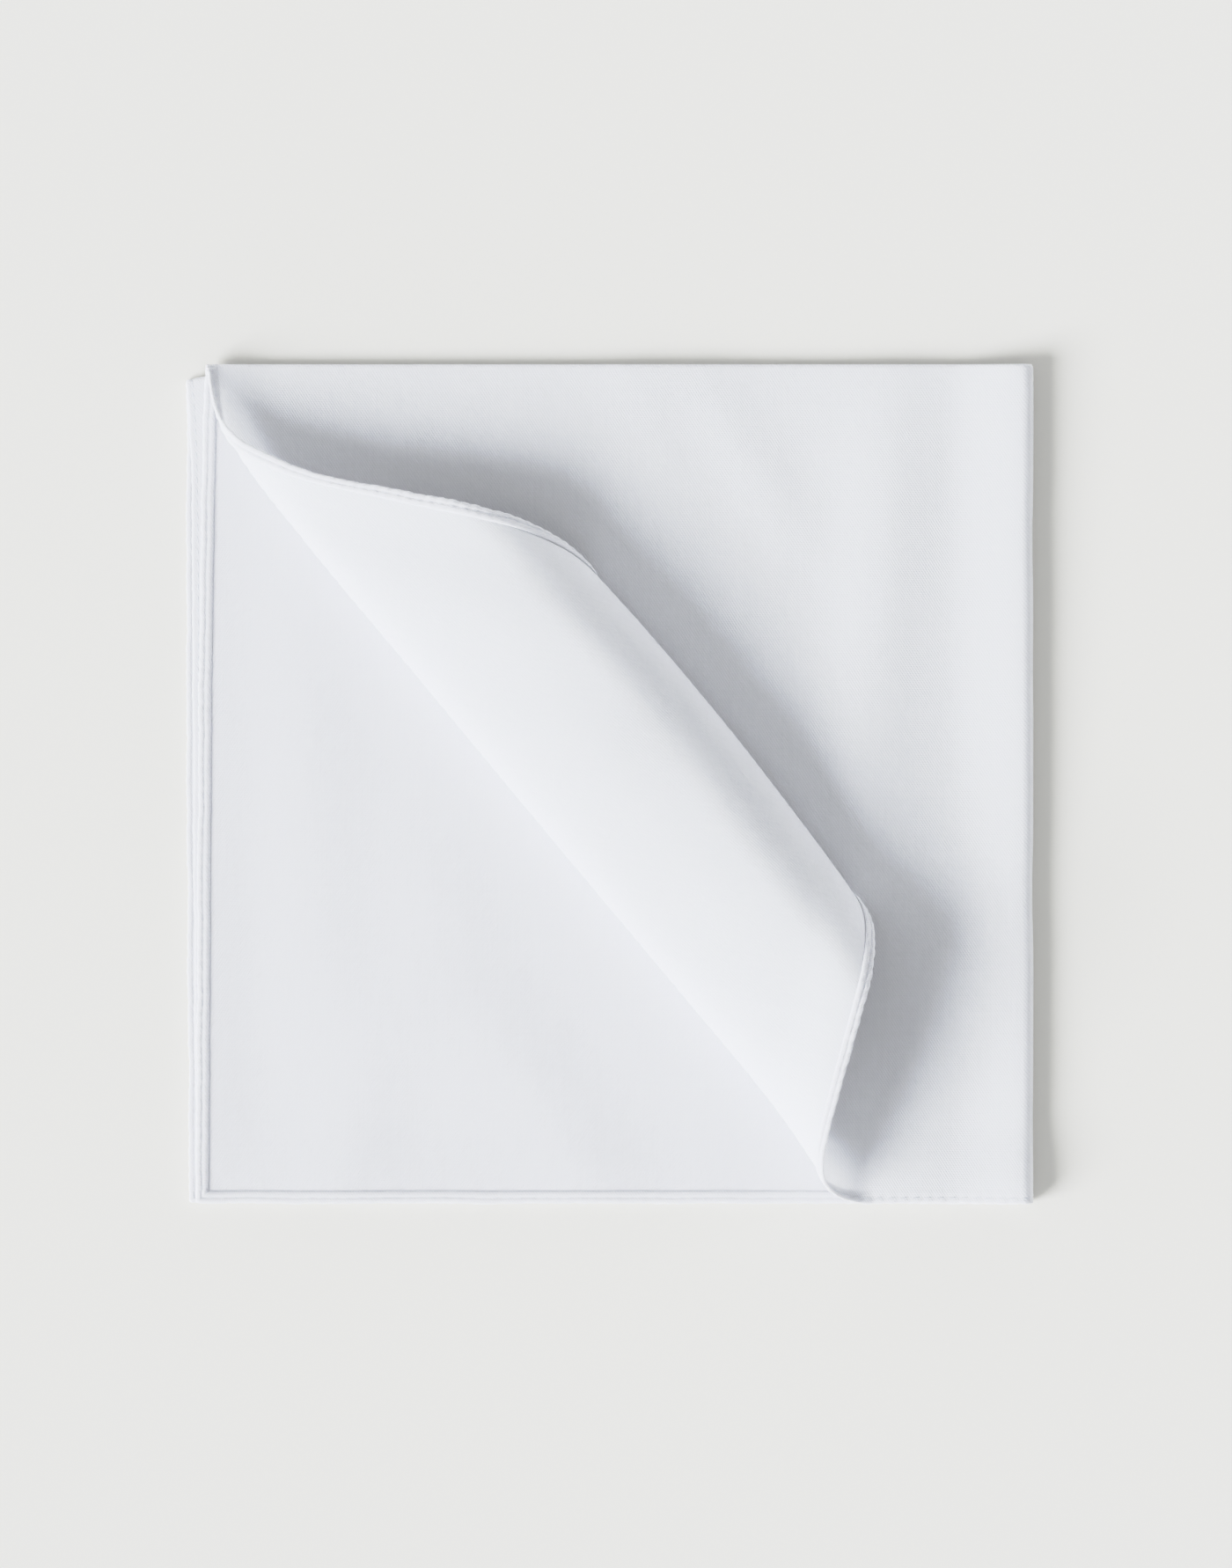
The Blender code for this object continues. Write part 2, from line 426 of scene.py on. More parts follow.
    def settle(self, x: Array, y: Array, under: Array, turned: Array) -> tuple[Array, Array]:
        """Sets the sheets askew, and lets the folded corner of sheets 3 and 4 droop.

        Args:
            x: places to the right, folded.
            y: places upwards, folded.
            under: true on sheets 3 and 4.
            turned: true on sheets 2 and 3.

        Returns:
            The new x and y.
        """
        from_right = np.clip((self.right_bend - x) / (self.right_bend - self.left), 0, None)
        from_top = np.clip((self.top_bend - y) / (self.top_bend - self.bottom), 0, 1)
        shifts = curve_through(np.array(self.askew), from_top)
        shift = np.where(turned & ~under, shifts[:, 0], 0.0)
        shift = np.where(turned & under, shifts[:, 1], shift)
        shift = np.where(~turned & under, shifts[:, 2], shift)
        edge = np.clip(1 - (x - self.low[0]) / self.droop_width, 0, 1) ** 2
        droop = np.where(under, self.droop * edge * (1 - from_top), 0.0)
        wave = sum(high * np.sin(y * math.tau / long + start) for high, long, start in self.waves)
        near_right = smooth(1 - (self.high[0] - x) / self.bulge_reach)
        return x + shift * from_right + wave * near_right, y - droop

    def surface(self, u: Array, v: Array, height: Array) -> Array:
        """Places at this height off the cloth's middle, towards its right side."""
        step = self.probe
        across = self.carry(u + step, v) - self.carry(u - step, v)
        down = self.carry(u, v + step) - self.carry(u, v - step)
        normal = np.cross(across, down)
        normal /= np.maximum(np.linalg.norm(normal, axis=1), TINY)[:, None]
        return self.carry(u, v) + normal * height[:, None]


class Face(Enum):
    """The sides of the cloth that a stitch can show on."""

    RIGHT = 1
    WRONG = -1


@dataclass
class Shader:
    """A material's node tree, with short ways to add to it."""

    name: str

    def __post_init__(self) -> None:
        """Makes the material, and finds its shader."""
        self.material = bpy.data.materials.new(self.name)
        self.material.use_nodes = True
        self.tree = self.material.node_tree
        self.shader = self.tree.nodes["Principled BSDF"]

    def put(self, socket: Socket, value: object) -> None:
        """Links a socket, or sets it to a number or colour."""
        if isinstance(value, Socket):
            self.tree.links.new(value, socket)
        else:
            socket.default_value = value

    def set(self, name: str, value: object) -> None:
        """Sets a socket of the shader to a constant."""
        self.shader.inputs[name].default_value = value

    def math(self, kind: str, *values: object) -> Socket:
        """Adds a Math node of this kind, and returns its result."""
        node = self.tree.nodes.new("ShaderNodeMath")
        node.operation = kind
        for socket, value in zip(node.inputs, values):
            self.put(socket, value)
        return node.outputs[0]

    def noise(self, place: object, scale: float) -> Socket:
        """Adds a noise pattern, and returns its value."""
        node = self.tree.nodes.new("ShaderNodeTexNoise")
        node.inputs["Scale"].default_value = scale
        self.put(node.inputs["Vector"], place)
        return node.outputs["Fac"]

    def join(self, *parts: object) -> Socket:
        """Joins up to three numbers into a vector."""
        node = self.tree.nodes.new("ShaderNodeCombineXYZ")
        for socket, value in zip(node.inputs, parts):
            self.put(socket, value)
        return node.outputs[0]

    def stretched(self, u: object, v: object, scales: Pair, layer: float) -> Socket:
        """A place to read a stretched noise at, in a layer of its own."""
        across, down = self.math("MULTIPLY", u, scales[0]), self.math("MULTIPLY", v, scales[1])
        return self.join(across, down, layer)

    def hump(self, count: object) -> Socket:
        """A round rise from 0 to 1 and back for each whole number."""
        return self.math("SINE", self.math("MULTIPLY", self.math("FRACT", count), math.pi))

    def ramp(self, share: object, dark: tuple, light: tuple) -> Socket:
        """Mixes two colours."""
        node = self.tree.nodes.new("ShaderNodeMix")
        node.data_type = "RGBA"
        self.put(node.inputs[0], share)
        self.put(node.inputs[6], dark)
        self.put(node.inputs[7], light)
        return node.outputs[2]

    def bump(self, height: object, distance: float, strength: float) -> None:
        """Gives the shader a bump of this height."""
        node = self.tree.nodes.new("ShaderNodeBump")
        node.inputs["Distance"].default_value = distance
        node.inputs["Strength"].default_value = strength
        self.put(node.inputs["Height"], height)
        self.put(self.shader.inputs["Normal"], node.outputs[0])


@dataclass(frozen=True)
class TwillFinish:
    """Fine white cotton, woven two over one in a steep twill, and a little see-through. Its colour
    holds painted shade of the weave's relief, over slubs of uneven tone.
    """

    name: str = "white_cotton_twill"
    # The two ends of the cloth's colour; the mix between them carries painted weave shade and slub
    # tone.
    light: Colour = (0.940, 0.945, 0.965, 1.0)
    dark: Colour = (0.830, 0.835, 0.858, 1.0)
    warp_pitch: float = 0.177
    weft_pitch: float = 0.283
    repeat: float = 3.0
    over: float = 0.66
    float_shape: float = 0.45
    warp_crown: float = 0.45
    weft_height: float = 0.42
    slub: Pair = (2.2, 0.10)
    cross_slub: Pair = (0.08, 1.6)
    slub_mix: Pair = (0.42, 0.35)
    cross_mix: float = 0.16
    slub_relief: float = 0.35
    roughness: float = 0.92
    smoothing: float = 0.1
    specular: float = 0.25
    sheen: float = 0.12
    sheen_roughness: float = 0.6
    see_through: float = 1.0
    scatter: float = 0.00045
    colour_reach: tuple[float, float, float] = (1.0, 1.0, 0.97)
    relief: float = 0.00006
    relief_strength: float = 0.8
    # Painted shade of the weave: how far the floats are painted lighter and the gaps darker, and the
    # share of it that shows on the wrong side.
    weave_shade_contrast: float = 0.62
    back: float = 0.45
    level: float = 0.7

    def material(self) -> bpy.types.Material:
        """Builds the twill and its painted shade from the flat place of each point, which the cloth
        carries.
        """
        s = Shader(self.name)
        place = s.tree.nodes.new("ShaderNodeAttribute")
        place.attribute_name = "flat"
        parts = s.tree.nodes.new("ShaderNodeSeparateXYZ")
        s.put(parts.inputs[0], place.outputs["Vector"])
        u, v, face = parts.outputs
        slub = s.noise(s.stretched(u, v, self.slub, 0.0), 1.0)
        cross_slub = s.noise(s.stretched(u, v, self.cross_slub, 7.0), 1.0)
        column = s.math("DIVIDE", u, self.warp_pitch)
        pick = s.math("DIVIDE", v, self.weft_pitch)
        moved_on = s.math("ADD", pick, s.math("FLOOR", column))
        step = s.math("FRACT", s.math("DIVIDE", moved_on, self.repeat))
        on_top = s.math("MULTIPLY", s.math("DIVIDE", step, self.over), math.pi)
        floated = s.math("POWER", s.math("MAXIMUM", s.math("SINE", on_top), 0.0), self.float_shape)
        crown = s.math("MULTIPLY", s.hump(column), self.warp_crown)
        warp = s.math("MULTIPLY", floated, s.math("ADD", crown, 1 - self.warp_crown))
        weft = s.math("MULTIPLY", s.hump(pick), self.weft_height)
        weave = s.math("MAXIMUM", warp, weft)
        uneven_warp = s.math("MULTIPLY_ADD", slub, *self.slub_mix)
        uneven = s.math("ADD", uneven_warp, s.math("MULTIPLY", cross_slub, self.cross_mix))
        # Painted shade: the weave's low places are coloured darker and its floats lighter, less so on
        # the wrong side.
        half = self.weave_shade_contrast / 2
        clear = s.math("MULTIPLY_ADD", face, half * (1 - self.back), half * (1 + self.back))
        painted_weave_shade = s.math("MULTIPLY", s.math("SUBTRACT", weave, self.level), clear)
        # The colour mixes the painted weave shade with the slubs' random tone.
        weave_shade_and_slub_tone = s.math("ADD", painted_weave_shade, uneven)
        rough = s.math("SUBTRACT", self.roughness, s.math("MULTIPLY", weave, self.smoothing))
        s.put(s.shader.inputs["Base Color"], s.ramp(weave_shade_and_slub_tone, self.dark, self.light))
        s.put(s.shader.inputs["Roughness"], rough)
        s.set("Specular IOR Level", self.specular)
        s.set("Sheen Weight", self.sheen)
        s.set("Sheen Roughness", self.sheen_roughness)
        s.set("Subsurface Weight", self.see_through)
        s.set("Subsurface Radius", self.colour_reach)
        s.set("Subsurface Scale", self.scatter)
        height = s.math("ADD", weave, s.math("MULTIPLY", slub, self.slub_relief))
        s.bump(height, self.relief, self.relief_strength)
        return s.material


@dataclass(frozen=True)
class ThreadFinish:
    """White sewing thread, twisted from plies, with painted shade in the grooves between them."""

    name: str = "white_sewing_thread"
    light: Colour = (0.90, 0.915, 0.94, 1.0)
    dark: Colour = (0.74, 0.765, 0.80, 1.0)
    ply: float = 0.22
    roughness: float = 0.7
    sheen: float = 0.15
    relief: float = 0.00003
    relief_strength: float = 0.8

    def material(self) -> bpy.types.Material:
        """Builds the twist from each point's place along its stitch and round it, painting the grooves
        between plies darker as shade.
        """
        s = Shader(self.name)
        place = s.tree.nodes.new("ShaderNodeAttribute")
        place.attribute_name = "twist"
        parts = s.tree.nodes.new("ShaderNodeSeparateXYZ")
        s.put(parts.inputs[0], place.outputs["Vector"])
        turn = s.math("ADD", s.math("DIVIDE", parts.outputs[0], self.ply), parts.outputs[1])
        plies = s.math("ABSOLUTE", s.math("SINE", s.math("MULTIPLY", turn, math.pi)))
        # Painted shade: the grooves between plies are coloured darker, as well as bumped.
        s.put(s.shader.inputs["Base Color"], s.ramp(plies, self.dark, self.light))
        s.set("Roughness", self.roughness)
        s.set("Sheen Weight", self.sheen)
        s.bump(plies, self.relief, self.relief_strength)
        return s.material


@dataclass(frozen=True)
class FloorFinish:
    """A plain pale matt surface with a faint grain."""

    name: str = "pale_paper"
    light: Colour = (0.766, 0.755, 0.712, 1.0)
    dark: Colour = (0.756, 0.745, 0.702, 1.0)
    grain: float = 900.0
    roughness: float = 0.95
    specular: float = 0.1

    def material(self) -> bpy.types.Material:
        """Builds the grain from the object's own coordinates."""
        s = Shader(self.name)
        place = s.tree.nodes.new("ShaderNodeTexCoord")
        grain = s.noise(place.outputs["Object"], self.grain)
        s.put(s.shader.inputs["Base Color"], s.ramp(grain, self.dark, self.light))
        s.set("Roughness", self.roughness)
        s.set("Specular IOR Level", self.specular)
        return s.material


@dataclass(frozen=True)
class HemSide:
    """One side of the flat square, with the fold that crosses it.

    Args:
        corner: its first corner.
        way: the way it runs.
        length: its length.
        crease: how far along it the fold is.
        turn: the length of cloth from the crease to either end of the fold.
        spacings: how far apart its points are before the fold, and after it.
    """

    corner: Pair
    way: Pair
    length: float
    crease: float
    turn: float
    spacings: Pair

    @property
    def inward(self) -> Array:
        """The way in from it."""
        return np.array([-self.way[1], self.way[0]])


@dataclass(frozen=True)
class HemRing:
    """One ring of the hem's section.

    Args:
        inset: its distance inside the cut edge.
        height: its height towards the wrong side.
        pull: how far the needle pulls it down at a hole.
        drawn: how far the needle draws it in at a hole.
    """

    inset: float
    height: float
    pull: float = 0.0
    drawn: float = 0.0


@dataclass
class HemmedCloth:
    """The whole square: a grid of cloth, rings of finer cloth round it, and the turned hem.

    The hem is turned twice to the wrong side. Its rings are mitred squares, rounded at the corners.
    """

    folds: Folds
    hem_width: float = 2.25
    hem_height: float = 0.50
    groove: float = 0.12
    pull: float = 0.05
    right_groove: float = 0.02
    right_pull: float = 0.10
    stitch: float = 2.4
    stitch_inset: float = 0.95
    corner_radius: float = 0.6
    corner_steps: tuple[float, ...] = (0.0, 0.14, 0.30, 0.46)
    mitre: float = 12.0
    grid_inset: float = 3.0
    fine: float = 1.75
    middling: float = 3.2
    coarse: float = 4.6
    fold_steps: int = 8
    least_gap: float = 0.3
    edge_waves: tuple[Pair, ...] = ((0.05, 31.0), (0.04, 13.0), (0.03, 5.3))
    side_stride: float = 331.0
    seed: int = 7

    def outer(self) -> tuple[float, float, float, float]:
        """The cut edges: left, bottom, right and top."""
        f = self.folds
        return f.left, f.bottom, f.left + f.width, f.bottom + f.height

    def spaced(self, start: float, stop: float, spacing: float) -> Array:
        """Even places from start to stop, without the last."""
        count = max(int(round((stop - start) / spacing)), 1)
        return np.linspace(start, stop, count + 1)[:-1]

    def lines(self, start: float, crease: float, turn: float, stop: float, spacings: Pair) -> Array:
        """Places along one side, close together in the fold.

        Args:
            start: where the side starts.
            crease: the middle of the fold.
            turn: the length of cloth from there to either end of the fold.
            stop: where the side ends.
            spacings: the spacing before the fold, and the one after it.

        Returns:
            All the places, with both ends.
        """
        return np.concatenate(
            [
                self.spaced(start, crease - turn, spacings[0]),
                self.spaced(crease - turn, crease + turn, 2 * turn / self.fold_steps),
                self.spaced(crease + turn, stop, spacings[1]),
                [stop],
            ]
        )

    def sides(self) -> list[HemSide]:
        """The four sides, anticlockwise from the lower left corner."""
        f = self.folds
        left, bottom, right, top = self.outer()
        across, upwards = (f.right_crease - left, f.right_turn), (f.top_crease - bottom, f.top_turn)
        near, far = self.stitch / 5, self.stitch / 2
        back = (right - f.right_crease, f.right_turn), (top - f.top_crease, f.top_turn)
        return [
            HemSide((left, bottom), (1, 0), right - left, *across, (near, far)),
            HemSide((right, bottom), (0, 1), top - bottom, *upwards, (far, far)),
            HemSide((right, top), (-1, 0), right - left, *back[0], (far, near * 2)),
            HemSide((left, top), (0, -1), top - bottom, *back[1], (near, near)),
        ]

    def first_hole(self, length: float) -> float:
        """How far from the corner the first needle hole is, on a side of this length."""
        between = length - 2 * self.stitch_inset
        return self.stitch_inset + (between % self.stitch) / 2

    def places(self) -> list[Array]:
        """For each side, how far from its first corner its points lie, with one at each hole."""
        found = []
        for side in self.sides():
            hole = self.first_hole(side.length)
            corner = np.array(self.corner_steps)
            reach = corner[-1]
            ends = (reach, side.crease - side.turn, side.crease + side.turn, side.length - reach)
            steps = (side.spacings[0], 2 * side.turn / self.fold_steps, side.spacings[1])
            parts = [corner[:-1]]
            for start, stop, step in zip(ends, ends[1:], steps):
                first = math.ceil((start - hole) / step + self.least_gap)
                last = math.floor((stop - hole) / step - self.least_gap)
                parts += [[start], hole + np.arange(first, last + 1) * step]
            found.append(np.concatenate(parts + [side.length - corner[:0:-1]]))
        return found

    def ring(self, inset: float, places: list[Array]) -> Array:
        """A mitred ring of points at this distance inside the cut edge.

        Args:
            inset: the distance inside the edge, or outside it if below zero.
            places: how far from its first corner each point lies, for each side.

        Returns:
            One row of u and v for each point, anticlockwise from the lower left corner.
        """
        points = []
        for side, along in zip(self.sides(), places):
            start = np.clip(1 - along / self.mitre, 0, 1) ** 2
            end = np.clip(1 - (side.length - along) / self.mitre, 0, 1) ** 2
            shifted = along + inset * (start - end)
            way = np.array(side.way)
            points.append(np.array(side.corner) + way * shifted[:, None] + side.inward * inset)
        return np.concatenate(points)

    def rounded(self, flat: Array) -> Array:
        """Pulls points near a corner of the square on to an arc."""
        left, bottom, right, top = self.outer()
        middle = np.array([(left + right) / 2, (bottom + top) / 2])
        half = np.array([(right - left) / 2, (top - bottom) / 2])
        away = flat - middle
        past = np.abs(away) - (half - self.corner_radius)
        at_corner = (past > 0).all(axis=1)
        longest = past.max(axis=1)
        length = np.maximum(np.linalg.norm(past, axis=1), TINY)
        pulled = past * (longest / length)[:, None]
        fixed = middle + np.sign(away) * (half - self.corner_radius + pulled)
        return np.where(at_corner[:, None], fixed, flat)

    def grid(self) -> tuple[Array, Array]:
        """The columns and rows of the cloth inside the rings."""
        f = self.folds
        left, bottom, right, top = self.outer()
        inset = self.grid_inset
        across, upwards = (f.right_crease, f.right_turn), (f.top_crease, f.top_turn)
        columns = self.lines(left + inset, *across, right - inset, (self.fine, self.coarse))
        rows = self.lines(bottom + inset, *upwards, top - inset, (self.fine, self.middling))
        return columns, rows

    def pinch(self, places: list[Array]) -> Array:
        """How near each point of a ring is to a hole."""
        found = []
        for side, along in zip(self.sides(), places):
            turn = (along - self.first_hole(side.length)) * math.tau / self.stitch
            found.append(at_hole(turn))
        return np.concatenate(found)

    def build(self) -> Piece:
        """Builds the cloth as one mesh, and gives it its thickness.

        Returns:
            The cloth, with its flat places kept for its weave.
        """
        rings = self.rings(self.places())
        count = len(rings[0][0])
        columns, rows = self.grid()
        wide, tall = len(columns), len(rows)
        grid_u, grid_v = np.meshgrid(columns, rows)
        inner = np.stack([grid_u.ravel(), grid_v.ravel()], axis=1)
        places = np.concatenate([inner] + [ring[0] for ring in rings])
        weave = np.concatenate([inner] + [ring[1] for ring in rings])
        heights = np.concatenate([np.zeros(len(inner))] + [ring[2] for ring in rings])
        faces = [
            (j * wide + i, j * wide + i + 1, (j + 1) * wide + i + 1, (j + 1) * wide + i)
            for j in range(tall - 1)
            for i in range(wide - 1)
        ]
        faces += self.seam(columns, rows, rings[0][0], len(inner))
        for k in range(len(rings) - 1):
            first = len(inner) + k * count
            for i in range(count):
                j = (i + 1) % count
                faces.append((first + j, first + i, first + count + i, first + count + j))
        points = self.folds.surface(places[:, 0], places[:, 1], heights)
        cloth = new_piece("folded_cloth", points, faces)
        thicken(cloth, self.folds.cloth * MM)
        sides = np.repeat([Face.RIGHT.value, Face.WRONG.value], len(places))
        give(cloth, "flat", np.column_stack([np.tile(weave, (2, 1)), sides]))
        return cloth

    def seam(self, columns: Array, rows: Array, ring: Array, first: int) -> list[tuple[int, ...]]:
        """Fills the strip between the grid and the innermost ring with triangles.

        Args:
            columns: the grid's columns.
            rows: the grid's rows.
            ring: the innermost ring's points.
            first: the index of the ring's first point.

        Returns:
            The faces.
        """
        wide, tall = len(columns), len(rows)
        border = [(i, 0) for i in range(wide - 1)]
        border += [(wide - 1, j) for j in range(tall - 1)]
        border += [(i, tall - 1) for i in range(wide - 1, 0, -1)]
        border += [(0, j) for j in range(tall - 1, 0, -1)]
        places = np.array([(columns[i], rows[j]) for i, j in border])
        indices = [j * wide + i for i, j in border]
        inner_turn, outer_turn = self.way_round(places), self.way_round(ring)
        faces: list[tuple[int, ...]] = []
        i = j = 0
        inner_count, outer_count = len(indices), len(ring)
        while i < inner_count or j < outer_count:
            a, b = indices[i % inner_count], first + j % outer_count
            next_inner = inner_turn[i + 1] if i + 1 < inner_count else WHOLE_TURN
            next_outer = outer_turn[j + 1] if j + 1 < outer_count else WHOLE_TURN
            if j >= outer_count or (i < inner_count and next_inner <= next_outer):
                i += 1
                faces.append((a, b, indices[i % inner_count]))
            else:
                j += 1
                faces.append((a, b, first + j % outer_count))
        return faces

    def way_round(self, places: Array) -> Array:
        """How far round the square each place is, in sides, anticlockwise from the lower left."""
        low, high = places.min(axis=0), places.max(axis=0)
        across, up = ((places - low) / (high - low)).T
        side = np.stack([up, 1 - across, 1 - up, across], axis=1).argmin(axis=1)
        along = np.stack([across, up, 1 - across, 1 - up], axis=1)
        turn = side + along[np.arange(len(places)), side]
        return np.maximum.accumulate(np.where(turn >= WHOLE_TURN - TINY, 0.0, turn))

    def profile(self) -> tuple[HemRing, ...]:
        """The hem's section, from the single cloth inside it out to the edge and back on top."""
        high, wide, seam = self.hem_height, self.hem_width, self.stitch_inset
        return (
            HemRing(wide, 0.0),
            HemRing(1.45, -0.11, -0.11),
            HemRing(seam, self.right_groove, -self.right_pull),
            HemRing(0.45, -0.10, -0.12, 0.03),
            HemRing(0.0, 0.0, 0.0, 0.10),
            HemRing(-0.14, 0.3 * high, 0.0, 0.12),
            HemRing(-0.12, 0.8 * high, 0.04, 0.14),
            HemRing(0.12, high + 0.07, 0.12, 0.12),
            HemRing(0.50, high + 0.11, 0.17, 0.04),
            HemRing(0.76, high + 0.03, 0.13),
            HemRing(seam, high - self.groove, self.pull),
            HemRing(1.14, high + 0.02, 0.12),
            HemRing(1.46, high + 0.08, 0.12),
            HemRing(wide - 0.36, high - 0.04, 0.02),
            HemRing(wide - 0.03, 0.20),
        )

    def rings(self, places: list[Array]) -> list[tuple[Array, Array, Array]]:
        """The rings of the turned hem, from its inner fold out to the edge and back on top.

        Args:
            places: how far from its first corner each point lies, for each side.

        Returns:
            For each ring, its places, where its weave comes from, and its heights.
        """
        pinch = self.pinch(places)
        offsets = np.repeat(np.arange(len(places)) * self.side_stride, [len(p) for p in places])
        draw = random_wave(np.concatenate(places) + offsets, self.seed, self.edge_waves)
        found = []
        turned, last = 0.0, None
        for ring in self.profile():
            if last:
                turned += math.hypot(ring.inset - last.inset, ring.height - last.height)
            last = ring if last or ring.inset == 0 else None
            shift = ring.drawn * pinch + draw * (1 - ring.inset / self.grid_inset)
            square = self.ring(ring.inset, places)
            flat = self.rounded(square)
            inward = self.ring(ring.inset + 1.0, places) - square
            weave = self.ring(-turned, places) if last else flat
            found.append((flat + inward * shift[:, None], weave, -(ring.height - ring.pull * pinch)))
        return found


def random_wave(along: Array, seed: int, parts: tuple[Pair, ...]) -> Array:
    """A slow uneven wave, with a longer echo of each of its parts.

    Args:
        along: where it is read.
        seed: picks the wave.
        parts: the height and length of each part of it.

    Returns:
        Its value at each place.
    """
    random = np.random.default_rng(seed)
    total = np.zeros(len(along))
    for high, long in parts:
        for stretch in (1.0, 1.37):
            start = random.uniform(0, math.tau)
            total += high * np.sin(along * math.tau / (long * stretch) + start)
    return total


def select_only(piece: Piece) -> None:
    """Selects this piece alone, and makes it active."""
    bpy.ops.object.select_all(action="DESELECT")
    bpy.context.view_layer.objects.active = piece
    piece.select_set(True)


def new_piece(name: str, points: Array, faces: list[tuple[int, ...]]) -> Piece:
    """Makes a mesh object at the origin from points in millimetres."""
    mesh = bpy.data.meshes.new(name)
    mesh.from_pydata((points * MM).tolist(), [], faces)
    mesh.validate()
    piece = bpy.data.objects.new(name, mesh)
    bpy.context.scene.collection.objects.link(piece)
    return piece


def give(piece: Piece, name: str, values: Array) -> None:
    """Gives each point of a piece three numbers, for its material."""
    numbers = piece.data.attributes.new(name, "FLOAT_VECTOR", "POINT")
    numbers.data.foreach_set("vector", values.astype(np.float32).ravel())


def thicken(cloth: Piece, thickness: float) -> None:
    """Gives a sheet its thickness, half to each side, and smooths its shading."""
    select_only(cloth)
    solid = cloth.modifiers.new("thickness", "SOLIDIFY")
    solid.thickness = thickness
    solid.offset = 0.0
    bpy.ops.object.modifier_apply(modifier=solid.name)
    bpy.ops.object.shade_smooth()


@dataclass
class ThreadParts:
    """What the stitches add up to: flat places, heights, places along the thread, and faces."""

    flats: list[Array] = field(default_factory=list)
    heights: list[Array] = field(default_factory=list)
    twists: list[Array] = field(default_factory=list)
    faces: list[tuple[int, ...]] = field(default_factory=list)


@dataclass
class HemStitching:
    """The lockstitch that holds the hem: a short length of thread from hole to hole."""

    cloth: HemmedCloth
    radius: float = 0.09
    proud: float = 0.03
    dive: float = 0.16
    sides: int = 6
    bends: tuple[float, ...] = (0.0, 0.1, 0.3, 0.5, 0.7, 0.9, 1.0)
    end_taper: float = 0.55
    slant: float = 0.30

    def build(self) -> Piece:
        """Builds every stitch on both sides of the cloth as one mesh."""
        c = self.cloth
        parts = ThreadParts()
        for hem in c.sides():
            way = np.array(hem.way)
            start = np.array(hem.corner) + hem.inward * c.stitch_inset
            first = c.first_hole(hem.length)
            count = round((hem.length - 2 * first) / c.stitch)
            for side in Face:
                for n in range(count):
                    hole = start + way * (first + n * c.stitch)
                    self.stitch(hole, hem, side, parts)
        flat = np.concatenate(parts.flats)
        points = c.folds.surface(flat[:, 0], flat[:, 1], np.concatenate(parts.heights))
        thread = new_piece("hem_stitches", points, parts.faces)
        give(thread, "twist", np.concatenate(parts.twists))
        select_only(thread)
        bpy.ops.object.mode_set(mode="EDIT")
        bpy.ops.mesh.select_all(action="SELECT")
        bpy.ops.mesh.normals_make_consistent(inside=False)
        bpy.ops.object.mode_set(mode="OBJECT")
        bpy.ops.object.shade_smooth()
        return thread

    def stitch(self, start: Array, hem: HemSide, side: Face, parts: ThreadParts) -> None:
        """Adds one stitch.

        Args:
            start: the hole it starts from, on the flat.
            hem: the side of the square it is on.
            side: the side of the cloth it shows on.
            parts: what it is added to.
        """
        c = self.cloth
        way, inward = np.array(hem.way), hem.inward
        base = sum(len(part) for part in parts.flats)
        half = c.folds.cloth / 2
        if side is Face.RIGHT:
            surface, pull = half - c.right_groove, c.right_pull
        else:
            surface, pull = half + c.hem_height - c.groove, c.pull
        angles = np.arange(self.sides) * math.tau / self.sides
        for share in self.bends:
            pinch = at_hole(share * math.tau)
            size = self.radius * (1.0 if 0 < share < 1 else self.end_taper)
            level = surface + self.proud - (pull + self.dive) * pinch
            middle = start + way * (share * c.stitch) + inward * self.slant * (share - 0.5)
            along = np.full(self.sides, share * c.stitch)
            parts.flats.append(middle + inward * (np.cos(angles) * size)[:, None])
            parts.heights.append(side.value * (level + np.sin(angles) * size))
            parts.twists.append(np.column_stack([along, angles / math.tau, angles * 0]))
        last = base + (len(self.bends) - 1) * self.sides
        for low in range(base, last, self.sides):
            for a in range(self.sides):
                n = (a + 1) % self.sides
                parts.faces.append((low + a, low + n, low + n + self.sides, low + a + self.sides))
        parts.faces.append(tuple(base + a for a in reversed(range(self.sides))))
        parts.faces.append(tuple(last + a for a in range(self.sides)))


